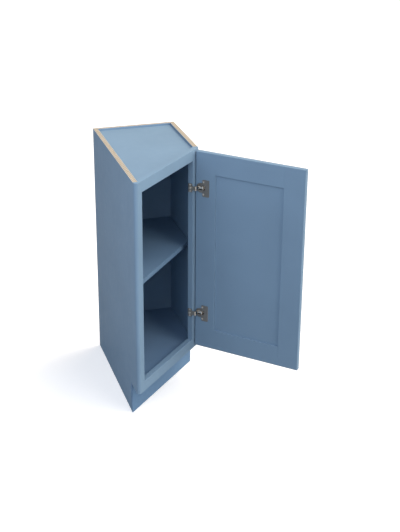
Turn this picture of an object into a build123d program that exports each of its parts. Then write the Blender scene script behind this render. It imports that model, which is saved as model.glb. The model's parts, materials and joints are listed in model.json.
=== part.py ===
from build123d import *
from math import cos, radians, sin, tan
import os

os.makedirs("parts", exist_ok=True)

# Angled base end cabinet, in millimetres. The origin is the rear left corner of the carcass on
# the floor. X runs right along the wall, Y runs back to the wall and Z is up. The front is cut
# at an angle, deep on the left and shallow on the right, and the door is drawn standing open

# Carcass
cabinet_height = 876.3
cabinet_width = 300.0
right_depth = 306.0
front_angle = 45.0
side_thickness = 16.0
back_thickness = 12.0
top_thickness = 16.0
bottom_thickness = 16.0
top_drop = 8.0
dado_depth = 5.0
toe_space_height = 114.3
toe_recess = 60.0
toe_board_thickness = 12.0

# Face frame
frame_thickness = 19.05
right_stile_width = 38.1
left_stile_width = 43.9
top_rail_width = 38.1
bottom_rail_width = 38.1
nose_radius = 9.4
frame_tenon_length = 7.0
frame_tenon_thickness = 6.35
frame_tenon_shoulder = 6.0
tenon_end_gap = 0.5

# Shelf on four pins in rows of holes
shelf_thickness = 16.0
shelf_top = 512.0
shelf_side_gap = 1.5
shelf_rear_gap = 1.0
shelf_left_setback = 4.0
shelf_right_setback = 42.0
pin_radius = 2.5
pin_peg_length = 8.0
pin_fit = 0.05
pin_tab_length = 8.0
pin_tab_width = 7.0
pin_tab_thickness = 1.6
pin_root_height = 6.5
pin_inset = 55.0
pin_hole_pitch = 32.0
pin_holes_each_way = 1
pin_hole_relief = 1.0

# Door, five pieces with a flat panel let into grooves
door_overlay = 31.75
door_bottom_overlay = 27.7
door_thickness = 19.05
door_gap = 3.0
door_open_angle = 90.0
door_stile_width = 76.2
door_rail_width = 76.2
door_panel_thickness = 6.35
door_groove_depth = 9.5
door_groove_gap = 0.8
door_edge_radius = 2.0

# Hinges, each set in from its own end of the door. The pivot is measured on the door from its
# hinge edge and from its back face
upper_hinge_end_distance = 129.95
lower_hinge_end_distance = 136.3
pivot_edge_distance = 8.0
pivot_depth = 7.7
cup_radius = 17.45
cup_fit = 0.05
cup_wall = 0.8
cup_depth = 12.5
cup_edge_distance = 3.0
flange_thickness = 1.2
flange_start = 25.5
flange_end = 52.5
flange_height = 62.0
flange_corner_radius = 4.0
flange_ring = 0.55
flange_near_edge = 5.0
cup_screw_offset = 9.5
cup_screw_spacing = 45.0
hinge_pin_radius = 1.25
hinge_pin_fit = 0.05
hinge_pin_cover = 0.4
arm_width = 15.0
arm_sheet = 1.5
arm_eye_radius = 2.6
arm_band_offset = 0.9
arm_leg_width = 4.6
arm_bend_radius = 3.0
arm_web_reach = 23.0
arm_frame_gap = 0.8
arm_foot_reach = 15.0
arm_side_gap = 0.35
spring_side_gap = 0.4
spring_near_gap = 0.7
spring_reach = 22.5
spring_proud = 1.4
spring_corner_radius = 1.2
cup_notch_length = 8.3
bracket_thickness = 1.5
bracket_height = 32.0
bracket_front_margin = 1.5
bracket_rear_margin = 1.05
bracket_corner_radius = 3.0
bracket_screw_spacing = 23.0
screw_radius = 1.75
screw_side_count = 12
screw_fit = 0.05
screw_head_radius = 3.4
screw_head_height = 0.9
cup_screw_length = 13.0
bracket_screw_length = 18.0
adjusting_screw_radius = 2.2
adjusting_head_radius = 4.2
adjusting_head_height = 2.2

# Levels
top_level = cabinet_height - top_drop
opening_bottom = toe_space_height + bottom_rail_width
opening_top = cabinet_height - top_rail_width
shelf_underside = shelf_top - shelf_thickness

# Plan of the front: a local frame at the front right corner, with X along the front face
# towards the left tip, and Y square out of the front
front_length = cabinet_width / cos(radians(front_angle))
front = Plane(
    origin=(cabinet_width, -right_depth, 0),
    x_dir=(-cos(radians(front_angle)), -sin(radians(front_angle)), 0),
    z_dir=(0, 0, 1),
)
left_opening_edge = front_length - left_stile_width
opening_width = left_opening_edge - right_stile_width


def front_y(x, setback=0.0):
    # The line that runs the given distance behind the front face, where it crosses this x
    front_face = -right_depth - (cabinet_width - x) * tan(radians(front_angle))
    return front_face + setback / cos(radians(front_angle))


def front_point(along, outward):
    point = front.from_local_coords((along, outward, 0))
    return (point.X, point.Y)


left_inner = side_thickness
right_inner = cabinet_width - side_thickness
left_panel_end = front_y(0, frame_thickness)
right_panel_end = front_y(right_inner, frame_thickness)
toe_board_back = toe_recess + toe_board_thickness
housed_panels = ((toe_space_height, bottom_thickness), (top_level - top_thickness, top_thickness))

# Shelf and its pins
shelf_front_left = front_y(left_inner, frame_thickness) + shelf_left_setback
shelf_front_right = front_y(right_inner, frame_thickness) + shelf_right_setback
shelf_rear = -back_thickness - shelf_rear_gap
pin_level = shelf_underside - pin_root_height / 2
pin_rear_y = -back_thickness - pin_inset
left_pin_rows = (pin_rear_y, shelf_front_left + pin_inset)
right_pin_rows = (pin_rear_y, shelf_front_right + pin_inset)
pin_hole_levels = [
    pin_level + step * pin_hole_pitch for step in range(-pin_holes_each_way, pin_holes_each_way + 1)
]
pin_hole_depth = pin_peg_length + pin_hole_relief

# Door. The closed door's local frame has X from the hinge edge along the door, Y from its back
# face to its front face and Z up, and it turns about the pivot to where the door is drawn
door_width = opening_width + 2 * door_overlay
door_bottom = opening_bottom - door_bottom_overlay
door_top = opening_top + door_overlay
door_height = door_top - door_bottom
door_hinge_edge = right_stile_width - door_overlay
pivot = front.from_local_coords((door_hinge_edge + pivot_edge_distance, door_gap + pivot_depth, 0))
door_x = Vector(front.x_dir).rotate(Axis.Z, door_open_angle)
door_y = Vector(front.y_dir).rotate(Axis.Z, door_open_angle)
door_origin = pivot - door_x * pivot_edge_distance - door_y * pivot_depth
door = Plane(origin=door_origin, x_dir=door_x, z_dir=(0, 0, 1))
door_back = Plane(origin=door_origin, x_dir=door_x, z_dir=door_y * -1)
across_door = Axis((0, 0, 0), door.x_dir)
through_door = Axis((0, 0, 0), door.y_dir)
panel_back = (door_thickness - door_panel_thickness) / 2
panel_inset = door_groove_depth - door_groove_gap

# Hinge
cup_centre = cup_edge_distance + cup_radius + cup_fit
cup_cavity_radius = cup_radius - cup_wall
cup_cavity_depth = cup_depth - cup_wall
cup_slot_width = arm_width + 2 * arm_side_gap
cup_screw_x = cup_centre + cup_screw_offset
pin_chord = (cup_radius**2 - (cup_centre - pivot_edge_distance + hinge_pin_radius) ** 2) ** 0.5
hinge_pin_length = 2 * (pin_chord - hinge_pin_cover)
pivot_along = door_hinge_edge + pivot_edge_distance
pivot_out = door_gap + pivot_depth
arm_inner_width = arm_width - 2 * arm_sheet
arm_notch_depth = pivot_depth + arm_eye_radius + arm_side_gap
arm_foot = right_stile_width + bracket_thickness
arm_top = pivot_out + arm_eye_radius
bracket_depth = frame_thickness - bracket_front_margin - bracket_rear_margin
bracket_middle = -bracket_front_margin - bracket_depth / 2
hinge_heights = {
    "lower": door_bottom + lower_hinge_end_distance,
    "upper": door_top - upper_hinge_end_distance,
}


# Side panels of plywood, square at the rim, cut back below for the toe space. The lower part is
# bevelled to meet the back of the toe board, and dadoes on the inside hold the top and bottom
with BuildPart() as left_side_panel:
    with BuildSketch(Plane.XY.offset(toe_space_height)):
        Polygon((0, 0), (left_inner, 0), (left_inner, left_panel_end), (0, left_panel_end), align=None)
    extrude(amount=cabinet_height - toe_space_height)
    with BuildSketch():
        Polygon(
            (0, 0),
            (left_inner, 0),
            (left_inner, front_y(left_inner, toe_board_back)),
            (0, front_y(0, toe_board_back)),
            align=None,
        )
    extrude(amount=toe_space_height)
    for level, thickness in housed_panels:
        with BuildSketch(Plane.XY.offset(level)):
            Polygon(
                (left_inner - dado_depth, -back_thickness),
                (left_inner, -back_thickness),
                (left_inner, left_panel_end),
                (left_inner - dado_depth, left_panel_end),
                align=None,
            )
        extrude(amount=thickness, mode=Mode.SUBTRACT)
    with BuildSketch(Plane.YZ.offset(left_inner)):
        with Locations(*((row, level) for row in left_pin_rows for level in pin_hole_levels)):
            Circle(pin_radius)
    extrude(amount=-pin_hole_depth, mode=Mode.SUBTRACT)
left_side_panel.part.label = "left_side_panel"
export_step(left_side_panel.part, "parts/left_side_panel.step")

with BuildPart() as right_side_panel:
    with BuildSketch(Plane.XY.offset(toe_space_height)):
        Polygon(
            (right_inner, 0),
            (cabinet_width, 0),
            (cabinet_width, right_panel_end),
            (right_inner, right_panel_end),
            align=None,
        )
    extrude(amount=cabinet_height - toe_space_height)
    with BuildSketch():
        Polygon(
            (right_inner, 0),
            (cabinet_width, 0),
            (cabinet_width, front_y(cabinet_width, toe_board_back)),
            (right_inner, front_y(right_inner, toe_board_back)),
            align=None,
        )
    extrude(amount=toe_space_height)
    for level, thickness in housed_panels:
        with BuildSketch(Plane.XY.offset(level)):
            Polygon(
                (right_inner, -back_thickness),
                (right_inner + dado_depth, -back_thickness),
                (right_inner + dado_depth, right_panel_end),
                (right_inner, right_panel_end),
                align=None,
            )
        extrude(amount=thickness, mode=Mode.SUBTRACT)
    with BuildSketch(Plane.YZ.offset(right_inner)):
        with Locations(*((row, level) for row in right_pin_rows for level in pin_hole_levels)):
            Circle(pin_radius)
    extrude(amount=pin_hole_depth, mode=Mode.SUBTRACT)
right_side_panel.part.label = "right_side_panel"
export_step(right_side_panel.part, "parts/right_side_panel.step")

# Back panel, between the sides and flush with their rear edges and the rim
with BuildPart() as back_panel:
    with BuildSketch():
        Polygon(
            (left_inner, 0),
            (right_inner, 0),
            (right_inner, -back_thickness),
            (left_inner, -back_thickness),
            align=None,
        )
    extrude(amount=cabinet_height)
back_panel.part.label = "back_panel"
export_step(back_panel.part, "parts/back_panel.step")

# Top and bottom panels, housed in the sides and cut along the back of the face frame
panel_outline = (
    (left_inner - dado_depth, -back_thickness),
    (right_inner + dado_depth, -back_thickness),
    (right_inner + dado_depth, front_y(right_inner + dado_depth, frame_thickness)),
    (left_inner - dado_depth, front_y(left_inner - dado_depth, frame_thickness)),
)

with BuildPart() as top_panel:
    with BuildSketch(Plane.XY.offset(top_level - top_thickness)):
        Polygon(*panel_outline, align=None)
    extrude(amount=top_thickness)
top_panel.part.label = "top_panel"
export_step(top_panel.part, "parts/top_panel.step")

with BuildPart() as bottom_panel:
    with BuildSketch(Plane.XY.offset(toe_space_height)):
        Polygon(*panel_outline, align=None)
    extrude(amount=bottom_thickness)
bottom_panel.part.label = "bottom_panel"
export_step(bottom_panel.part, "parts/bottom_panel.step")

# Toe board, parallel to the front, its ends cut flush with the outer faces of the sides
with BuildPart() as toe_board:
    with BuildSketch():
        Polygon(
            (0, front_y(0, toe_recess)),
            (cabinet_width, front_y(cabinet_width, toe_recess)),
            (cabinet_width, front_y(cabinet_width, toe_board_back)),
            (0, front_y(0, toe_board_back)),
            align=None,
        )
    extrude(amount=toe_space_height)
toe_board.part.label = "toe_board"
export_step(toe_board.part, "parts/toe_board.step")

# Mortises for the rails, cut into the inner edges of both stiles
mortise_depth = frame_tenon_length + tenon_end_gap
mortise_middle = -frame_thickness / 2
rail_spans = ((toe_space_height, bottom_rail_width), (opening_top, top_rail_width))

# Left stile. It wraps the square end of the side panel, and its acute outer corner is rounded
with BuildPart() as frame_left_stile:
    with BuildSketch(Plane.XY.offset(toe_space_height)):
        Polygon(
            front_point(left_opening_edge, 0),
            front_point(left_opening_edge, -frame_thickness),
            (left_inner, front_y(left_inner, frame_thickness)),
            (left_inner, left_panel_end),
            (0, left_panel_end),
            (0, front_y(0)),
            align=None,
        )
        fillet(vertices().sort_by(Axis.Y)[0], nose_radius)
    extrude(amount=cabinet_height - toe_space_height)
    for level, width in rail_spans:
        with BuildSketch(front.offset(level + frame_tenon_shoulder)):
            with Locations((left_opening_edge, mortise_middle)):
                Rectangle(mortise_depth, frame_tenon_thickness, align=(Align.MIN, Align.CENTER))
        extrude(amount=width - 2 * frame_tenon_shoulder, mode=Mode.SUBTRACT)
frame_left_stile.part.label = "frame_left_stile"
export_step(frame_left_stile.part, "parts/frame_left_stile.step")

# Right stile, with the pilot holes of the hinge brackets in its inner edge
with BuildPart() as frame_right_stile:
    with BuildSketch(Plane.XY.offset(toe_space_height)):
        Polygon(
            front_point(0, 0),
            (cabinet_width, right_panel_end),
            (right_inner, right_panel_end),
            front_point(right_stile_width, -frame_thickness),
            front_point(right_stile_width, 0),
            align=None,
        )
    extrude(amount=cabinet_height - toe_space_height)
    for level, width in rail_spans:
        with BuildSketch(front.offset(level + frame_tenon_shoulder)):
            with Locations((right_stile_width, mortise_middle)):
                Rectangle(mortise_depth, frame_tenon_thickness, align=(Align.MAX, Align.CENTER))
        extrude(amount=width - 2 * frame_tenon_shoulder, mode=Mode.SUBTRACT)
    for height in hinge_heights.values():
        stile_edge = Plane(
            origin=front.from_local_coords((right_stile_width, bracket_middle, height)),
            x_dir=front.y_dir,
            z_dir=front.x_dir,
        )
        with BuildSketch(stile_edge):
            with GridLocations(0, bracket_screw_spacing, 1, 2):
                RegularPolygon(screw_radius + screw_fit, screw_side_count)
        extrude(amount=bracket_thickness - bracket_screw_length, mode=Mode.SUBTRACT)
frame_right_stile.part.label = "frame_right_stile"
export_step(frame_right_stile.part, "parts/frame_right_stile.step")

# Rails, tenoned into the stiles at both ends
with BuildPart() as frame_bottom_rail:
    with BuildSketch(front.offset(toe_space_height)):
        with Locations((right_stile_width, 0)):
            Rectangle(opening_width, frame_thickness, align=(Align.MIN, Align.MAX))
    extrude(amount=bottom_rail_width)
    with BuildSketch(front.offset(toe_space_height + frame_tenon_shoulder)):
        with Locations((right_stile_width + opening_width / 2, mortise_middle)):
            Rectangle(opening_width + 2 * frame_tenon_length, frame_tenon_thickness)
    extrude(amount=bottom_rail_width - 2 * frame_tenon_shoulder)
frame_bottom_rail.part.label = "frame_bottom_rail"
export_step(frame_bottom_rail.part, "parts/frame_bottom_rail.step")

with BuildPart() as frame_top_rail:
    with BuildSketch(front.offset(opening_top)):
        with Locations((right_stile_width, 0)):
            Rectangle(opening_width, frame_thickness, align=(Align.MIN, Align.MAX))
    extrude(amount=top_rail_width)
    with BuildSketch(front.offset(opening_top + frame_tenon_shoulder)):
        with Locations((right_stile_width + opening_width / 2, mortise_middle)):
            Rectangle(opening_width + 2 * frame_tenon_length, frame_tenon_thickness)
    extrude(amount=top_rail_width - 2 * frame_tenon_shoulder)
frame_top_rail.part.label = "frame_top_rail"
export_step(frame_top_rail.part, "parts/frame_top_rail.step")

# Shelf. Its front edge runs close to the frame on the left and stands back on the hinge side
with BuildPart() as shelf:
    with BuildSketch(Plane.XY.offset(shelf_underside)):
        Polygon(
            (left_inner + shelf_side_gap, shelf_rear),
            (right_inner - shelf_side_gap, shelf_rear),
            (right_inner - shelf_side_gap, shelf_front_right),
            (left_inner + shelf_side_gap, shelf_front_left),
            align=None,
        )
    extrude(amount=shelf_thickness)
shelf.part.label = "shelf"
export_step(shelf.part, "parts/shelf.step")

# Shelf pins: a peg in the side, and a gusseted tab that the shelf lies on
with BuildPart() as shelf_pins:
    for wall, inward, rows in ((left_inner, 1, left_pin_rows), (right_inner, -1, right_pin_rows)):
        for row in rows:
            with BuildSketch(Plane.XZ.offset(-row - pin_tab_width / 2)):
                Polygon(
                    (wall, shelf_underside),
                    (wall + inward * pin_tab_length, shelf_underside),
                    (wall + inward * pin_tab_length, shelf_underside - pin_tab_thickness),
                    (wall + inward * pin_tab_thickness, shelf_underside - pin_root_height),
                    (wall, shelf_underside - pin_root_height),
                    align=None,
                )
            extrude(amount=pin_tab_width)
            with BuildSketch(Plane.YZ.offset(wall)):
                with Locations((row, pin_level)):
                    Circle(pin_radius - pin_fit)
            extrude(amount=-inward * pin_peg_length)
shelf_pins.part.label = "shelf_pins"
export_step(shelf_pins.part, "parts/shelf_pins.step")

# Door stiles, grooved on their inner edges for the rails and the panel. The outer edges are
# rounded over, and the hinge stile is bored from the back for the hinge cups and their screws
with BuildPart() as door_hinge_stile:
    with BuildSketch(door.offset(door_bottom)):
        Rectangle(door_stile_width, door_thickness, align=(Align.MIN, Align.MIN))
    extrude(amount=door_height)
    arrises = edges().filter_by(through_door, reverse=True)
    fillet(arrises.sort_by(across_door)[:-2], door_edge_radius)
    with BuildSketch(door.offset(door_bottom)):
        with Locations((door_stile_width, panel_back)):
            Rectangle(door_groove_depth, door_panel_thickness, align=(Align.MAX, Align.MIN))
    extrude(amount=door_height, mode=Mode.SUBTRACT)
    with BuildSketch(door_back):
        with Locations(*((cup_centre, height) for height in hinge_heights.values())):
            Circle(cup_radius + cup_fit)
    extrude(amount=-cup_depth, mode=Mode.SUBTRACT)
    with BuildSketch(door_back):
        for height in hinge_heights.values():
            with Locations((cup_screw_x, height)):
                with GridLocations(0, cup_screw_spacing, 1, 2):
                    RegularPolygon(screw_radius + screw_fit, screw_side_count)
    extrude(amount=flange_thickness - cup_screw_length, mode=Mode.SUBTRACT)
door_hinge_stile.part.label = "door_hinge_stile"
export_step(door_hinge_stile.part, "parts/door_hinge_stile.step")

with BuildPart() as door_free_stile:
    with BuildSketch(door.offset(door_bottom)):
        with Locations((door_width, 0)):
            Rectangle(door_stile_width, door_thickness, align=(Align.MAX, Align.MIN))
    extrude(amount=door_height)
    arrises = edges().filter_by(through_door, reverse=True)
    fillet(arrises.sort_by(across_door)[2:], door_edge_radius)
    with BuildSketch(door.offset(door_bottom)):
        with Locations((door_width - door_stile_width, panel_back)):
            Rectangle(door_groove_depth, door_panel_thickness, align=(Align.MIN, Align.MIN))
    extrude(amount=door_height, mode=Mode.SUBTRACT)
door_free_stile.part.label = "door_free_stile"
export_step(door_free_stile.part, "parts/door_free_stile.step")

# Door rails, with stub tenons that fill the stile grooves, and a groove for the panel
door_inner_width = door_width - 2 * door_stile_width
panel_middle = panel_back + door_panel_thickness / 2

with BuildPart() as door_bottom_rail:
    with BuildSketch(door.offset(door_bottom)):
        with Locations((door_stile_width, 0)):
            Rectangle(door_inner_width, door_thickness, align=(Align.MIN, Align.MIN))
    extrude(amount=door_rail_width)
    outer_face = faces().sort_by(Axis.Z)[0]
    fillet(outer_face.edges().filter_by(across_door), door_edge_radius)
    with BuildSketch(door.offset(door_bottom)):
        with Locations((door_width / 2, panel_middle)):
            Rectangle(door_inner_width + 2 * panel_inset, door_panel_thickness)
    extrude(amount=door_rail_width - door_groove_depth)
    with BuildSketch(door.offset(door_bottom + door_rail_width)):
        with Locations((door_width / 2, panel_middle)):
            Rectangle(door_inner_width, door_panel_thickness)
    extrude(amount=-door_groove_depth, mode=Mode.SUBTRACT)
door_bottom_rail.part.label = "door_bottom_rail"
export_step(door_bottom_rail.part, "parts/door_bottom_rail.step")

with BuildPart() as door_top_rail:
    with BuildSketch(door.offset(door_top)):
        with Locations((door_stile_width, 0)):
            Rectangle(door_inner_width, door_thickness, align=(Align.MIN, Align.MIN))
    extrude(amount=-door_rail_width)
    outer_face = faces().sort_by(Axis.Z)[-1]
    fillet(outer_face.edges().filter_by(across_door), door_edge_radius)
    with BuildSketch(door.offset(door_top)):
        with Locations((door_width / 2, panel_middle)):
            Rectangle(door_inner_width + 2 * panel_inset, door_panel_thickness)
    extrude(amount=-(door_rail_width - door_groove_depth))
    with BuildSketch(door.offset(door_top - door_rail_width)):
        with Locations((door_width / 2, panel_middle)):
            Rectangle(door_inner_width, door_panel_thickness)
    extrude(amount=door_groove_depth, mode=Mode.SUBTRACT)
door_top_rail.part.label = "door_top_rail"
export_step(door_top_rail.part, "parts/door_top_rail.step")

with BuildPart() as door_panel:
    with BuildSketch(door.offset(door_bottom + door_rail_width - panel_inset)):
        with Locations((door_width / 2, panel_middle)):
            Rectangle(door_inner_width + 2 * panel_inset, door_panel_thickness)
    extrude(amount=door_height - 2 * door_rail_width + 2 * panel_inset)
door_panel.part.label = "door_panel"
export_step(door_panel.part, "parts/door_panel.step")

# Compact concealed hinges. An arm on the frame ends in an eye that turns on a pin inside the
# cup, which is let into the back of the door. The arm is a channel that straddles the spring
# housing, so that it folds down round it as the door closes
for place, height in hinge_heights.items():
    arm_plan = front.offset(height)
    door_plan = door.offset(height)
    cup_plane = Plane(
        origin=door_back.from_local_coords((0, height, 0)),
        x_dir=door_x,
        z_dir=door_back.z_dir,
    )
    edge_plane = Plane(
        origin=front.from_local_coords((right_stile_width, bracket_middle, height)),
        x_dir=front.y_dir,
        z_dir=front.x_dir,
    )

    # Bracket plate on the inner edge of the stile
    with BuildPart() as hinge_bracket:
        with BuildSketch(edge_plane):
            RectangleRounded(bracket_depth, bracket_height, bracket_corner_radius)
            with GridLocations(0, bracket_screw_spacing, 1, 2):
                Circle(screw_radius + screw_fit, mode=Mode.SUBTRACT)
            Circle(adjusting_screw_radius + screw_fit, mode=Mode.SUBTRACT)
        extrude(amount=bracket_thickness)
    hinge_bracket.part.label = f"{place}_hinge_bracket"
    export_step(hinge_bracket.part, f"parts/{place}_hinge_bracket.step")

    # Pan head wood screws that hold the bracket, their threaded shanks drawn with flats
    with BuildPart() as hinge_bracket_screws:
        with BuildSketch(edge_plane.offset(bracket_thickness)):
            with GridLocations(0, bracket_screw_spacing, 1, 2):
                RegularPolygon(screw_radius, screw_side_count)
        extrude(amount=-bracket_screw_length)
        with BuildSketch(edge_plane.offset(bracket_thickness)):
            with GridLocations(0, bracket_screw_spacing, 1, 2):
                Circle(screw_head_radius)
        extrude(amount=screw_head_height)
    hinge_bracket_screws.part.label = f"{place}_hinge_bracket_screws"
    export_step(hinge_bracket_screws.part, f"parts/{place}_hinge_bracket_screws.step")

    # Arm: an outline seen from above, hollowed between its cheeks, with a flat foot
    with BuildPart() as hinge_arm:
        with BuildSketch(arm_plan):
            with Locations((pivot_along, pivot_out)):
                Circle(arm_eye_radius)
            arm_outer = arm_foot + arm_sheet
            Polygon(
                (pivot_along, arm_top),
                (arm_outer, arm_top),
                (arm_outer, arm_frame_gap),
                (arm_outer - arm_leg_width, arm_frame_gap),
                (arm_outer - arm_leg_width, pivot_out - arm_band_offset),
                (pivot_along, pivot_out - arm_band_offset),
                align=None,
            )
            fillet(vertices().sort_by_distance((arm_outer, arm_top, 0))[0], arm_bend_radius)
        extrude(amount=arm_width / 2, both=True)
        with BuildSketch(arm_plan):
            Polygon(
                (pivot_along, arm_top),
                (pivot_along + arm_web_reach, arm_top),
                (pivot_along + arm_web_reach, arm_top - arm_sheet),
                (arm_foot, arm_top - arm_sheet),
                (arm_foot, arm_frame_gap),
                (arm_outer - arm_leg_width, arm_frame_gap),
                (arm_outer - arm_leg_width, pivot_out - arm_band_offset),
                (pivot_along, pivot_out - arm_band_offset),
                align=None,
            )
            with Locations((pivot_along, pivot_out)):
                Circle(arm_eye_radius, mode=Mode.SUBTRACT)
        extrude(amount=arm_inner_width / 2, both=True, mode=Mode.SUBTRACT)
        with BuildSketch(arm_plan):
            with Locations((arm_foot, arm_frame_gap)):
                Rectangle(arm_sheet, arm_frame_gap + arm_foot_reach, align=(Align.MIN, Align.MAX))
        extrude(amount=arm_width / 2, both=True)
        with BuildSketch(arm_plan):
            with Locations((pivot_along, pivot_out)):
                Circle(hinge_pin_radius + hinge_pin_fit)
        extrude(amount=arm_width / 2, both=True, mode=Mode.SUBTRACT)
        with BuildSketch(edge_plane.offset(bracket_thickness)):
            Circle(adjusting_screw_radius + screw_fit)
        extrude(amount=arm_sheet, mode=Mode.SUBTRACT)
    hinge_arm.part.label = f"{place}_hinge_arm"
    export_step(hinge_arm.part, f"parts/{place}_hinge_arm.step")

    # Adjusting screw that clamps the foot of the arm to the bracket and turns in its thread
    with BuildPart() as hinge_adjusting_screw:
        with BuildSketch(edge_plane.offset(bracket_thickness + arm_sheet)):
            Circle(adjusting_screw_radius)
        extrude(amount=-(arm_sheet + bracket_thickness))
        with BuildSketch(edge_plane.offset(bracket_thickness + arm_sheet)):
            Circle(adjusting_head_radius)
        extrude(amount=adjusting_head_height)
    hinge_adjusting_screw.part.label = f"{place}_hinge_adjusting_screw"
    export_step(hinge_adjusting_screw.part, f"parts/{place}_hinge_adjusting_screw.step")

    # Cup with its flange. A slot as wide as the arm runs across it and is open towards the hinge
    # edge, and the shoulders beside the slot hold the ends of the pin
    with BuildPart() as hinge_cup:
        with BuildSketch(cup_plane):
            with Locations((cup_centre, 0)):
                Circle(cup_radius + flange_ring)
            with Locations(((flange_start + flange_end) / 2, 0)):
                RectangleRounded(flange_end - flange_start, flange_height, flange_corner_radius)
            with Locations((flange_near_edge, 0)):
                Rectangle(cup_radius, flange_height, align=(Align.MAX, Align.CENTER), mode=Mode.SUBTRACT)
            with Locations((cup_screw_x, 0)):
                with GridLocations(0, cup_screw_spacing, 1, 2):
                    Circle(screw_radius + screw_fit, mode=Mode.SUBTRACT)
        extrude(amount=flange_thickness)
        with BuildSketch(cup_plane):
            with Locations((cup_centre, 0)):
                Circle(cup_radius)
        extrude(amount=-cup_depth)
        with BuildSketch(cup_plane.offset(flange_thickness)):
            with Locations((cup_centre, 0)):
                Circle(cup_cavity_radius)
                Rectangle(2 * cup_radius, cup_slot_width, mode=Mode.INTERSECT)
        extrude(amount=-(flange_thickness + cup_cavity_depth), mode=Mode.SUBTRACT)
        with BuildSketch(cup_plane.offset(flange_thickness)):
            with Locations((cup_edge_distance, 0)):
                Rectangle(cup_notch_length, cup_slot_width, align=(Align.MIN, Align.CENTER))
        extrude(amount=-(flange_thickness + arm_notch_depth), mode=Mode.SUBTRACT)
        with BuildSketch(door_plan):
            with Locations((pivot_edge_distance, pivot_depth)):
                Circle(hinge_pin_radius)
        extrude(amount=hinge_pin_length / 2, both=True, mode=Mode.SUBTRACT)
    hinge_cup.part.label = f"{place}_hinge_cup"
    export_step(hinge_cup.part, f"parts/{place}_hinge_cup.step")

    # Pin between the shoulders
    with BuildPart() as hinge_pin:
        with BuildSketch(door_plan):
            with Locations((pivot_edge_distance, pivot_depth)):
                Circle(hinge_pin_radius)
        extrude(amount=hinge_pin_length / 2, both=True)
    hinge_pin.part.label = f"{place}_hinge_pin"
    export_step(hinge_pin.part, f"parts/{place}_hinge_pin.step")

    # Housing of the closing spring, standing on the floor of the cup inside the arm's sweep
    with BuildPart() as hinge_spring_housing:
        spring_start = pivot_edge_distance + arm_eye_radius + spring_near_gap
        spring_rise = spring_proud + pivot_depth
        spring_end = pivot_edge_distance + (spring_reach**2 - spring_rise**2) ** 0.5
        with BuildSketch(door_plan):
            with Locations((spring_start, -spring_proud)):
                Rectangle(
                    spring_end - spring_start,
                    spring_proud + cup_cavity_depth,
                    align=(Align.MIN, Align.MIN),
                )
            fillet(vertices().group_by(Axis.Y)[0], spring_corner_radius)
        extrude(amount=arm_inner_width / 2 - spring_side_gap, both=True)
    hinge_spring_housing.part.label = f"{place}_hinge_spring_housing"
    export_step(hinge_spring_housing.part, f"parts/{place}_hinge_spring_housing.step")

    # Screws through the flange into the door stile
    with BuildPart() as hinge_cup_screws:
        with BuildSketch(cup_plane.offset(flange_thickness)):
            with Locations((cup_screw_x, 0)):
                with GridLocations(0, cup_screw_spacing, 1, 2):
                    RegularPolygon(screw_radius, screw_side_count)
        extrude(amount=-cup_screw_length)
        with BuildSketch(cup_plane.offset(flange_thickness)):
            with Locations((cup_screw_x, 0)):
                with GridLocations(0, cup_screw_spacing, 1, 2):
                    Circle(screw_head_radius)
        extrude(amount=screw_head_height)
    hinge_cup_screws.part.label = f"{place}_hinge_cup_screws"
    export_step(hinge_cup_screws.part, f"parts/{place}_hinge_cup_screws.step")
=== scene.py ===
import json
import math

import bmesh
import bpy
from mathutils import Matrix, Quaternion, Vector
from mathutils.bvhtree import BVHTree

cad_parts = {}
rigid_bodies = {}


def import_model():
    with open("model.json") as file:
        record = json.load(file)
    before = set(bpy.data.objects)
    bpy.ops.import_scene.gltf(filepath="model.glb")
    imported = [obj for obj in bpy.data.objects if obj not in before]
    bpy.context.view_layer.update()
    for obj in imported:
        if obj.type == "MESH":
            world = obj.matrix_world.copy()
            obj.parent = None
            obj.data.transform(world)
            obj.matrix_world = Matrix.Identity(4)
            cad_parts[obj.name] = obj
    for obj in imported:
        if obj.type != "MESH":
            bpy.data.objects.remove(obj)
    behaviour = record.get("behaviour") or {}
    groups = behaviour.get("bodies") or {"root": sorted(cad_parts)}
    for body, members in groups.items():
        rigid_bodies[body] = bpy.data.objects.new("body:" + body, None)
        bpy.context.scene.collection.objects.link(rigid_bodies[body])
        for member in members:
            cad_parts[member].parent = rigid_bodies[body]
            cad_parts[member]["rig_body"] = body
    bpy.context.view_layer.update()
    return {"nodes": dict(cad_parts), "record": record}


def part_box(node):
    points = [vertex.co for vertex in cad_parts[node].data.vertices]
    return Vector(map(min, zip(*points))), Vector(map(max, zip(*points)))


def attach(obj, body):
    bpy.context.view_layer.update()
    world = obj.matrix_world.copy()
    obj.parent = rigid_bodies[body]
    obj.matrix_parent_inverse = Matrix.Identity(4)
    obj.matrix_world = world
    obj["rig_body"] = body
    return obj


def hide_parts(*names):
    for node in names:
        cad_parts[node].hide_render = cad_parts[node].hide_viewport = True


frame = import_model()
nodes = frame["nodes"]
slotOf = {part["node"]: part["material_slot"] for part in frame["record"]["subparts"]}
scene = bpy.context.scene
mm = 0.001
up = Vector((0, 0, 1))
aligned = 0.99  # cosine above which two directions count as one
noiseSpan = (0.3, 0.7)  # nearly all values of a noise texture lie in here


# Small helpers

def linear(hexColour):
    channels = [int(hexColour[place:place + 2], 16) / 255 for place in (1, 3, 5)]
    return [c / 12.92 if c <= 0.04045 else ((c + 0.055) / 1.055) ** 2.4 for c in channels] + [1.0]


def addNode(tree, kind, inputs=None, **settings):
    node = tree.nodes.new(kind)
    for name, value in settings.items():
        setattr(node, name, value)
    for socket, value in (inputs or {}).items():
        if isinstance(value, bpy.types.NodeSocket):
            tree.links.new(value, node.inputs[socket])
        else:
            node.inputs[socket].default_value = value
    return node


def newMaterial(name):
    material = bpy.data.materials.new(name)
    material.use_nodes = True
    material.node_tree.nodes.clear()
    return material, material.node_tree


def endMaterial(tree, shader):
    addNode(tree, "ShaderNodeOutputMaterial", {"Surface": shader.outputs["BSDF"]})


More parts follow.
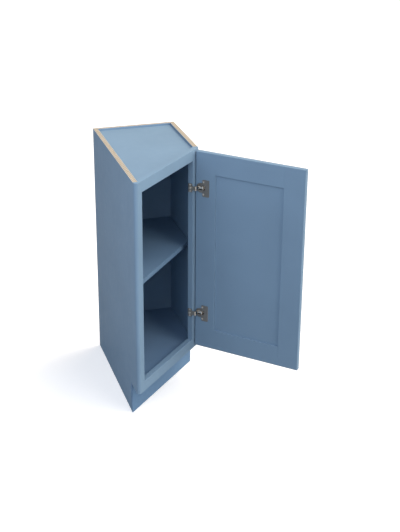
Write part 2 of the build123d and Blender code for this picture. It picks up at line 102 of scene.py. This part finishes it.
# Camera at the photograph's angle, solved from the cabinet's edges

view = {
    "place": (-0.81569, -3.90438, 2.13792),
    "yaw": 17.36,  # degrees right of +Y
    "pitch": -24.37,
    "roll": 0.45,
    "lens": 78.37,
    "sensor": 36.0,
    "farClip": 100.0,
}


def makeCamera():
    camera = bpy.data.cameras.new("productCamera")
    camera.lens = view["lens"]
    camera.sensor_width = view["sensor"]
    camera.clip_end = view["farClip"]
    holder = bpy.data.objects.new("productCamera", camera)
    scene.collection.objects.link(holder)
    yaw = math.radians(view["yaw"])
    pitch = math.radians(view["pitch"])
    level = Vector((math.sin(yaw), math.cos(yaw), 0))
    ahead = level * math.cos(pitch) + up * math.sin(pitch)
    roll = Quaternion(up, math.radians(view["roll"]))
    holder.rotation_mode = "QUATERNION"
    holder.rotation_quaternion = ahead.to_track_quat("-Z", "Y") @ roll
    holder.location = view["place"]
    scene.camera = holder
    print("camera placed")


# Studio: a broad low key from the right, softboxes up on the left and behind, an even cool fill,
# and a pale floor that runs out to the white backdrop

studio = {
    "fill": 0.42,
    "fillColour": "#EBF0FA",
    "backdropColour": "#FFFFFF",
    "floorReach": 30.0,
    "floorDrop": 0.2 * mm,
    "floorColour": "#E9EAEB",
    "floorBounce": "#7E8184",  # the darker tone that the cabinet is lit by
    "floorLift": 0.40,  # what the pale sweep adds towards the camera
    "floorRoughness": 0.9,
    "middle": (0.2, -0.4, 0.45),  # what the lamps face
    "sunAway": 3.0,  # where a sun's object stands, which its light doesn't depend on
}
# azimuth in degrees right of straight in front, height and spread in degrees, away and size in metres
lamps = {
    "rightKey": {"azimuth": 66.0, "height": 26.0, "spread": 95.0, "light": 4.3, "colour": "#FFF6EA"},
    "leftSoftbox": {
        "azimuth": -41.0,
        "height": 36.0,
        "away": 2.2,
        "size": 2.2,
        "light": 1.83,
        "colour": "#F2F5FF",
    },
    "backSoftbox": {
        "azimuth": 130.0,
        "height": 60.0,
        "away": 2.6,
        "size": 1.6,
        "light": 1.0,
        "colour": "#FFE2B8",
    },
}


def seenDirectly(tree):
    # 1 for camera, mirror and see-through rays, 0 for the rays that light the cabinet
    path = addNode(tree, "ShaderNodeLightPath")
    mirrored = addNode(
        tree,
        "ShaderNodeMath",
        {0: path.outputs["Is Camera Ray"], 1: path.outputs["Is Glossy Ray"]},
        operation="MAXIMUM",
    )
    return addNode(
        tree,
        "ShaderNodeMath",
        {0: mirrored.outputs[0], 1: path.outputs["Is Transmission Ray"]},
        operation="MAXIMUM",
    )


def makeWorld():
    world = bpy.data.worlds.new("whiteStudio")
    scene.world = world
    world.use_nodes = True
    tree = world.node_tree
    tree.nodes.clear()
    fill = addNode(
        tree,
        "ShaderNodeBackground",
        {"Color": linear(studio["fillColour"]), "Strength": studio["fill"]},
    )
    backdrop = addNode(
        tree,
        "ShaderNodeBackground",
        {"Color": linear(studio["backdropColour"]), "Strength": 1.0},
    )
    seen = seenDirectly(tree)
    both = addNode(
        tree,
        "ShaderNodeMixShader",
        {0: seen.outputs[0], 1: fill.outputs[0], 2: backdrop.outputs[0]},
    )
    addNode(tree, "ShaderNodeOutputWorld", {"Surface": both.outputs[0]})
    print("backdrop hung")


# Floor: matt pale board. It takes a soft shadow and mirrors nothing

def makeFloor():
    material, tree = newMaterial("matt pale studio floor")
    seen = seenDirectly(tree)
    lift = addNode(
        tree,
        "ShaderNodeMath",
        {0: seen.outputs[0], 1: studio["floorLift"]},
        operation="MULTIPLY",
    )
    # sockets 6 and 7 are the two colours of a colour mix
    tone = addNode(
        tree,
        "ShaderNodeMix",
        {
            "Factor": seen.outputs[0],
            6: linear(studio["floorBounce"]),
            7: linear(studio["floorColour"]),
        },
        data_type="RGBA",
    )
    surface = addNode(
        tree,
        "ShaderNodeBsdfPrincipled",
        {
            "Base Color": tone.outputs[2],
            "Roughness": studio["floorRoughness"],
            "Specular IOR Level": 0.0,
            "Emission Color": linear(studio["backdropColour"]),
            "Emission Strength": lift.outputs[0],
        },
    )
    endMaterial(tree, surface)
    shape = bmesh.new()
    bmesh.ops.create_grid(shape, x_segments=1, y_segments=1, size=studio["floorReach"])
    bmesh.ops.translate(shape, verts=shape.verts, vec=(0, 0, -studio["floorDrop"]))
    mesh = bpy.data.meshes.new("studioFloor")
    shape.to_mesh(mesh)
    shape.free()
    mesh.materials.append(material)
    floor = bpy.data.objects.new("studioFloor", mesh)
    scene.collection.objects.link(floor)
    print("floor laid")


def makeLights():
    for name, lamp in lamps.items():
        turn = math.radians(lamp["azimuth"])
        rise = math.radians(lamp["height"])
        level = Vector((math.sin(turn), -math.cos(turn), 0))
        towards = level * math.cos(rise) + up * math.sin(rise)
        if "away" in lamp:
            light = bpy.data.lights.new(name, "AREA")
            light.shape = "DISK"
            light.size = lamp["size"]
            # watts for that light at the middle
            light.energy = lamp["light"] * math.pi * lamp["away"] ** 2
        else:
            light = bpy.data.lights.new(name, "SUN")
            light.angle = math.radians(lamp["spread"])
            light.energy = lamp["light"]
        light.color = linear(lamp["colour"])[:3]
        holder = bpy.data.objects.new(name, light)
        scene.collection.objects.link(holder)
        holder.location = Vector(studio["middle"]) + towards * lamp.get("away", studio["sunAway"])
        holder.rotation_mode = "QUATERNION"
        holder.rotation_quaternion = towards.to_track_quat("Z", "Y")
    scene.view_settings.view_transform = "Standard"
    print("studio lit")


# Satin paint: blue waterborne lacquer sprayed on sealed plywood and wood. It gives an even colour,
# a wide soft sheen with no clear reflections, and the faint orange peel of the spray gun

satin = {
    "colour": "#7893AC",
    # the shelf, cabinet floor and toe board get darker lacquer as painted shade, standing in for the
    # shade inside the cabinet and under the bottom rail
    "deeper": {"shelf": "#647F9A", "bottom_panel": "#6D89A7", "toe_board": "#6787A9"},
    "shadeDrift": 0.03,
    "driftSize": 180 * mm,
    "driftDetail": 2.0,
    "roughness": (0.56, 0.66),
    "roughSize": 25 * mm,
    "roughDetail": 3.0,
    "peelSize": 2.4 * mm,  # real peel is about 1 mm, drawn coarser so that it shows
    "peelDetail": 1.0,
    "peelDepth": 0.018 * mm,
    "ior": 1.5,
    "specular": 0.07,
}


def makeSatinPaint(name, colour):
    material, tree = newMaterial(name)
    place = addNode(tree, "ShaderNodeTexCoord").outputs["Object"]
    drift = addNode(
        tree,
        "ShaderNodeTexNoise",
        {"Vector": place, "Scale": 1 / satin["driftSize"], "Detail": satin["driftDetail"]},
    )
    shade = addNode(
        tree,
        "ShaderNodeMapRange",
        {
            "Value": drift.outputs["Fac"],
            "From Min": noiseSpan[0],
            "From Max": noiseSpan[1],
            "To Min": 1 - satin["shadeDrift"],
            "To Max": 1 + satin["shadeDrift"],
        },
    )
    tone = addNode(
        tree,
        "ShaderNodeVectorMath",
        {0: linear(colour)[:3], "Scale": shade.outputs[0]},
        operation="SCALE",
    )
    patches = addNode(
        tree,
        "ShaderNodeTexNoise",
        {"Vector": place, "Scale": 1 / satin["roughSize"], "Detail": satin["roughDetail"]},
    )
    gloss = addNode(
        tree,
        "ShaderNodeMapRange",
        {
            "Value": patches.outputs["Fac"],
            "From Min": noiseSpan[0],
            "From Max": noiseSpan[1],
            "To Min": satin["roughness"][0],
            "To Max": satin["roughness"][1],
        },
    )
    peel = addNode(
        tree,
        "ShaderNodeTexNoise",
        {"Vector": place, "Scale": 1 / satin["peelSize"], "Detail": satin["peelDetail"]},
    )
    bump = addNode(
        tree,
        "ShaderNodeBump",
        {"Height": peel.outputs["Fac"], "Distance": satin["peelDepth"], "Strength": 1.0},
    )
    paint = addNode(
        tree,
        "ShaderNodeBsdfPrincipled",
        {
            "Base Color": tone.outputs[0],
            "Roughness": gloss.outputs[0],
            "Normal": bump.outputs["Normal"],
            "IOR": satin["ior"],
            "Specular IOR Level": satin["specular"],
        },
    )
    endMaterial(tree, paint)
    return material


# Raw plywood edge: sawn birch plies, pale along the grain and browner where a ply is cut across it,
# with thin dark glue lines between them and a dull, slightly furry surface

plywood = {
    "long": "#C6C0B4",
    "cross": "#918470",
    "glue": "#78674F",
    "glueShare": 0.10,  # of a ply's thickness
    "grainLength": 30 * mm,
    "grainWidth": 0.9 * mm,
    "grainDetail": 4.0,
    "grainDepth": 0.08 * mm,
    "streaks": (0.80, 1.10),  # darkest and palest fibre
    "roughness": 0.75,
    "ior": 1.5,
}


def makeRawPlywood(name, across, start, thickness, plyCount):
    material, tree = newMaterial(name)
    place = addNode(tree, "ShaderNodeTexCoord").outputs["Object"]
    parts = addNode(tree, "ShaderNodeSeparateXYZ", {0: place})
    depth = addNode(
        tree,
        "ShaderNodeMapRange",
        {
            "Value": parts.outputs[across],
            "From Min": start,
            "From Max": start + thickness,
            "To Min": 0.0,
            "To Max": float(plyCount),
        },
        clamp=False,
    )
    turn = addNode(tree, "ShaderNodeMath", {0: depth.outputs[0], 1: 2.0}, operation="FLOORED_MODULO")
    isCross = addNode(tree, "ShaderNodeMath", {0: turn.outputs[0], 1: 1.0}, operation="GREATER_THAN")
    withinPly = addNode(tree, "ShaderNodeMath", {0: depth.outputs[0]}, operation="FRACT")
    isGlue = addNode(
        tree,
        "ShaderNodeMath",
        {0: withinPly.outputs[0], 1: plywood["glueShare"]},
        operation="LESS_THAN",
    )
    stretch = [1 / plywood["grainLength"]] * 3
    stretch[across] = 1 / plywood["grainWidth"]
    fibres = addNode(tree, "ShaderNodeMapping", {"Vector": place, "Scale": stretch})
    grain = addNode(
        tree,
        "ShaderNodeTexNoise",
        {"Vector": fibres.outputs[0], "Scale": 1.0, "Detail": plywood["grainDetail"]},
    )
    streak = addNode(
        tree,
        "ShaderNodeMapRange",
        {
            "Value": grain.outputs["Fac"],
            "From Min": noiseSpan[0],
            "From Max": noiseSpan[1],
            "To Min": plywood["streaks"][0],
            "To Max": plywood["streaks"][1],
        },
    )
    plies = addNode(
        tree,
        "ShaderNodeMix",
        {"Factor": isCross.outputs[0], 6: linear(plywood["long"]), 7: linear(plywood["cross"])},
        data_type="RGBA",
    )
    glued = addNode(
        tree,
        "ShaderNodeMix",
        {"Factor": isGlue.outputs[0], 6: plies.outputs[2], 7: linear(plywood["glue"])},
        data_type="RGBA",
    )
    tone = addNode(
        tree,
        "ShaderNodeVectorMath",
        {0: glued.outputs[2], "Scale": streak.outputs[0]},
        operation="SCALE",
    )
    bump = addNode(
        tree,
        "ShaderNodeBump",
        {"Height": grain.outputs["Fac"], "Distance": plywood["grainDepth"], "Strength": 1.0},
    )
    wood = addNode(
        tree,
        "ShaderNodeBsdfPrincipled",
        {
            "Base Color": tone.outputs[0],
            "Roughness": plywood["roughness"],
            "Normal": bump.outputs["Normal"],
            "IOR": plywood["ior"],
        },
    )
    endMaterial(tree, wood)
    return material


# Plated metal: nickel on pressed steel gives a soft grey mirror, slightly hazy from the press. The
# one nickel is given three tones as painted light:
# the plate is darkened as painted shade, the spring's barrel is nearly white as a painted highlight,
# and the hinge strip lies between. Zinc on the screws is paler and whiter

plating = {
    # painted light: the plate's nickel is darkened as painted shade, the barrel's is nearly white as
    # a painted highlight
    "plate": {"name": "nickel plated pressed steel plate", "colour": "#8A8885", "roughness": 0.44},
    "strip": {"name": "nickel plated hinge strip", "colour": "#9B9790", "roughness": 0.42},
    "barrel": {"name": "bright nickel plated spring barrel", "colour": "#EEEAE2", "roughness": 0.36},
    "screw": {"name": "zinc plated screw", "colour": "#BDBBB6", "roughness": 0.38},
}
haze = {
    "drift": 0.05,  # of the roughness, up and down
    "size": 2.2 * mm,
    "detail": 3.0,
    "depth": 0.004 * mm,
}


def makePlating(kind):
    material, tree = newMaterial(plating[kind]["name"])
    place = addNode(tree, "ShaderNodeTexCoord").outputs["Object"]
    clouds = addNode(
        tree,
        "ShaderNodeTexNoise",
        {"Vector": place, "Scale": 1 / haze["size"], "Detail": haze["detail"]},
    )
    gloss = addNode(
        tree,
        "ShaderNodeMapRange",
        {
            "Value": clouds.outputs["Fac"],
            "From Min": noiseSpan[0],
            "From Max": noiseSpan[1],
            "To Min": plating[kind]["roughness"] - haze["drift"],
            "To Max": plating[kind]["roughness"] + haze["drift"],
        },
    )
    bump = addNode(
        tree,
        "ShaderNodeBump",
        {"Height": clouds.outputs["Fac"], "Distance": haze["depth"], "Strength": 1.0},
    )
    metal = addNode(
        tree,
        "ShaderNodeBsdfPrincipled",
        {
            "Base Color": linear(plating[kind]["colour"]),
            "Metallic": 1.0,
            "Roughness": gloss.outputs[0],
            "Normal": bump.outputs["Normal"],
        },
    )
    endMaterial(tree, metal)
    return material


# Turning a CAD solid into a finished piece

finish = {
    "weld": 0.003 * mm,
    "flat": 1.0,  # degrees, below which two faces are one
    "sharp": 28.0,  # degrees, above which an edge is eased
    "touching": 0.3 * mm,  # an edge this near to a neighbour is a joint line
    "woodArris": 0.8 * mm,
    "woodJoint": 0.2 * mm,
    "metalArris": 0.2 * mm,
    "segments": 2,
}


def solidCopy(name):
    shape = bmesh.new()
    shape.from_mesh(nodes[name].data)
    bmesh.ops.remove_doubles(shape, verts=shape.verts, dist=finish["weld"])
    bmesh.ops.dissolve_limit(
        shape,
        angle_limit=math.radians(finish["flat"]),
        verts=shape.verts,
        edges=shape.edges,
    )
    return shape


def easeEdges(shape, jointShare, neighbours):
    # free edges get the full width, edges that meet a neighbour only a share of it
    weights = shape.edges.layers.float.new("bevel_weight_edge")
    for edge in shape.edges:
        if len(edge.link_faces) != 2 or edge.calc_face_angle() < math.radians(finish["sharp"]):
            continue
        middle = (edge.verts[0].co + edge.verts[1].co) / 2
        meets = any(tree.find_nearest(middle, finish["touching"])[0] for tree in neighbours)
        edge[weights] = jointShare if meets else 1.0


def finishPiece(shape, name, label, materials, arris):
    mesh = bpy.data.meshes.new(label)
    shape.to_mesh(mesh)
    shape.free()
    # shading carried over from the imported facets
    for stale in ("custom_normal", "sharp_edge", "sharp_face"):
        if stale in mesh.attributes:
            mesh.attributes.remove(mesh.attributes[stale])
    mesh.shade_smooth()
    for material in materials:
        mesh.materials.append(material)
    piece = bpy.data.objects.new(label, mesh)
    scene.collection.objects.link(piece)
    easing = piece.modifiers.new("easedEdges", "BEVEL")
    easing.width = arris
    easing.segments = finish["segments"]
    easing.limit_method = "WEIGHT"
    easing.use_clamp_overlap = False
    easing.loop_slide = False  # even widths, also where a flat face's inner edge ends on the rim
    shading = piece.modifiers.new("flatFacesStayFlat", "WEIGHTED_NORMAL")
    shading.keep_sharp = True
    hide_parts(name)
    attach(piece, nodes[name]["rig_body"])


# Woodwork. Sheets were painted on both faces and then cut, so the sawn rim, back and foot edges of
# the carcass are raw, while the frame covers the front edges

rawEdges = {
    "left_side_panel": {"across": "X", "sides": ("+Z", "-Z", "+Y"), "plies": 7},
    "right_side_panel": {"across": "X", "sides": ("+Z", "-Z", "+Y"), "plies": 7},
    "back_panel": {"across": "Y", "sides": ("+Z", "-Z"), "plies": 5},
}
woodUnderPaint = {
    "painted_carcass": "plywood",
    "painted_frame": "frame maple",
    "painted_door": "door maple",
}


def splitAt(shape, levels):
    # a stile is cut where the rails' edges meet it, so that each length is a joint line or is free
    for level in levels:
        bmesh.ops.bisect_plane(
            shape,
            geom=shape.verts[:] + shape.edges[:] + shape.faces[:],
            plane_co=up * level,
            plane_no=up,
        )


def bareEdges(shape, name):
    # marks the sawn faces for the second material, and makes it with the plies across this sheet
    raw = rawEdges[name]
    across = "XYZ".index(raw["across"])
    low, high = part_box(name)
    for face in shape.faces:
        for side in raw["sides"]:
            outward = Vector([float(side[1] == letter) for letter in "XYZ"])
            if side[0] == "-":
                outward.negate()
            if face.normal.dot(outward) > aligned:
                face.material_index = 1
    return makeRawPlywood(
        f"raw birch plywood edge of {name}",
        across,
        low[across],
        high[across] - low[across],
        raw["plies"],
    )


def makeWoodwork():
    depsgraph = bpy.context.evaluated_depsgraph_get()
    wooden = [name for name, slot in slotOf.items() if slot.startswith("painted")]
    trees = {name: BVHTree.FromObject(nodes[name], depsgraph) for name in wooden}
    paints = {
        slot: makeSatinPaint(f"satin blue lacquer on {base}", satin["colour"])
        for slot, base in woodUnderPaint.items()
    }
    # painted shade: darker lacquer on the shelf, cabinet floor and toe board, for the shade they
    # stand in
    shadePaint = {
        name: makeSatinPaint(f"deeper satin blue lacquer on {name}", colour)
        for name, colour in satin["deeper"].items()
    }
    jointLevels = {
        "frame": (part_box("frame_bottom_rail")[1].z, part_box("frame_top_rail")[0].z),
        "door": (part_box("door_bottom_rail")[1].z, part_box("door_top_rail")[0].z),
    }
    for name in wooden:
        shape = solidCopy(name)
        if name.endswith("stile"):
            splitAt(shape, jointLevels[name.split("_")[0]])
        neighbours = [tree for other, tree in trees.items() if other != name]
        easeEdges(shape, finish["woodJoint"] / finish["woodArris"], neighbours)
        # those three boards take their painted-shade lacquer, the rest the even satin blue
        materials = [shadePaint.get(name, paints[slotOf[name]])]
        if name in rawEdges:
            materials.append(bareEdges(shape, name))
        finishPiece(shape, name, f"{name}_painted", materials, finish["woodArris"])
    print("woodwork painted", len(wooden))


# Hinges, screws and shelf pins

hardware = {
    "headDome": 0.62 * mm,
    "domeSegments": 4,
    "recessLength": 4.4 * mm,
    "recessWidth": 1.1 * mm,
    "recessDepth": 0.55 * mm,
    "firstTurn": 20.0,  # degrees that the first screw's recess is turned from upright
    "recessTurn": 38.0,  # degrees from one screw to the next, as they stop when driven
    "barrelRound": 4.6 * mm,
    "barrelSegments": 8,
    "barrelEnd": 1.4 * mm,
    "endSegments": 4,
    "sameLevel": 0.05 * mm,  # faces this near to the outermost one are heads too
    "facingOut": 0.1,  # cosine above which a face of the barrel belongs to its rounded top
}
# where the hinges' screw heads face while the door stands open
outwards = Vector((-1, -1, 0)).normalized()
levelAcross = outwards.cross(up)


def outerFaces(shape):
    reach = max(vert.co.dot(outwards) for vert in shape.verts)
    return [
        face
        for face in shape.faces
        if face.normal.dot(outwards) > aligned
        and reach - face.calc_center_median().dot(outwards) < hardware["sameLevel"]
    ]


def roundEdges(shape, edges, radius, segments):
    bmesh.ops.bevel(
        shape,
        geom=edges,
        offset=radius,
        segments=segments,
        profile=0.5,
        affect="EDGES",
        material=-1,
    )


def domeHeads(shape):
    rims = dict.fromkeys(edge for face in outerFaces(shape) for edge in face.edges)
    roundEdges(shape, list(rims), hardware["headDome"], hardware["domeSegments"])


def steadyCopy(shape):
    # the same shape with its faces in a fixed order, which cutting and extruding leave to chance
    shape.verts.index_update()
    steady = bmesh.new()
    corners = [steady.verts.new(vert.co) for vert in shape.verts]
    for ring in sorted([vert.index for vert in face.verts] for face in shape.faces):
        steady.faces.new([corners[index] for index in ring])
    steady.normal_update()
    shape.free()
    return steady


def cutCrossRecesses(shape):
    # each head's top is scored into a cross, which is then pushed in
    centres = [head.calc_center_median() for head in outerFaces(shape)]
    half, reach = hardware["recessWidth"] / 2, hardware["recessLength"] / 2
    for count, centre in enumerate(sorted(centres, key=lambda centre: centre.z)):
        shape = steadyCopy(shape)
        head = min(outerFaces(shape), key=lambda face: (face.calc_center_median() - centre).length)
        angle = math.radians(hardware["firstTurn"] + hardware["recessTurn"] * count)
        turned = Matrix.Rotation(angle, 3, outwards)
        arms = [turned @ up, turned @ levelAcross]
        scored = [head]
        for arm in arms:
            for offset in (-reach, -half, half, reach):
                edges = dict.fromkeys(edge for face in scored for edge in face.edges)
                verts = dict.fromkeys(vert for face in scored for vert in face.verts)
                cut = bmesh.ops.bisect_plane(
                    shape,
                    geom=scored + list(edges) + list(verts),
                    plane_co=centre + arm * offset,
                    plane_no=arm,
                )
                pieces = dict.fromkeys(cut["geom"])
                scored = [item for item in pieces if isinstance(item, bmesh.types.BMFace)]
        cross = []
        for face in scored:
            away = sorted(abs((face.calc_center_median() - centre).dot(arm)) for arm in arms)
            if away[0] < half and away[1] < reach:
                cross.append(face)
        sunk = bmesh.ops.extrude_face_region(shape, geom=cross)
        moved = [item for item in sunk["geom"] if isinstance(item, bmesh.types.BMVert)]
        bmesh.ops.translate(shape, verts=moved, vec=-outwards * hardware["recessDepth"])
        # the faces that the cross was cut from would close it off
        bmesh.ops.delete(shape, geom=[face for face in cross if face.is_valid], context="FACES")
    return steadyCopy(shape)


def roundBarrel(shape):
    # the spring's housing is a half-round cover: the two long edges of its top are rolled over
    rolled = [
        edge
        for face in outerFaces(shape)
        for edge in face.edges
        if abs((edge.verts[0].co - edge.verts[1].co).normalized().dot(levelAcross)) > aligned
    ]
    roundEdges(shape, rolled, hardware["barrelRound"], hardware["barrelSegments"])
    ends = [
        edge
        for edge in shape.edges
        if sum(abs(face.normal.dot(levelAcross)) > aligned for face in edge.link_faces) == 1
        and any(face.normal.dot(outwards) > hardware["facingOut"] for face in edge.link_faces)
    ]
    roundEdges(shape, ends, hardware["barrelEnd"], hardware["endSegments"])


def makeHardware():
    metals = {kind: makePlating(kind) for kind in plating}
    depsgraph = bpy.context.evaluated_depsgraph_get()
    screwNames = [name for name in slotOf if name.endswith(("screws", "screw"))]
    screws = [BVHTree.FromObject(nodes[name], depsgraph) for name in screwNames]
    for name, slot in slotOf.items():
        if slot.startswith("painted"):
            continue
        shape = solidCopy(name)
        metal = metals["plate"]
        if "screw" in name:
            domeHeads(shape)
            shape = cutCrossRecesses(shape)
            metal = metals["screw"]
        elif "spring_housing" in name:
            roundBarrel(shape)
            # painted highlight: the barrel gets the near-white nickel
            metal = metals["barrel"]
        elif "arm" in name or "pin" in name:
            metal = metals["strip"]
        # the rim of a hole under a screw's head isn't eased
        easeEdges(shape, 0.0, [] if "screw" in name else screws)
        finishPiece(shape, name, f"{name}_plated", [metal], finish["metalArris"])
    print("hardware plated")


makeCamera()
makeWorld()
makeFloor()
makeLights()
makeWoodwork()
makeHardware()
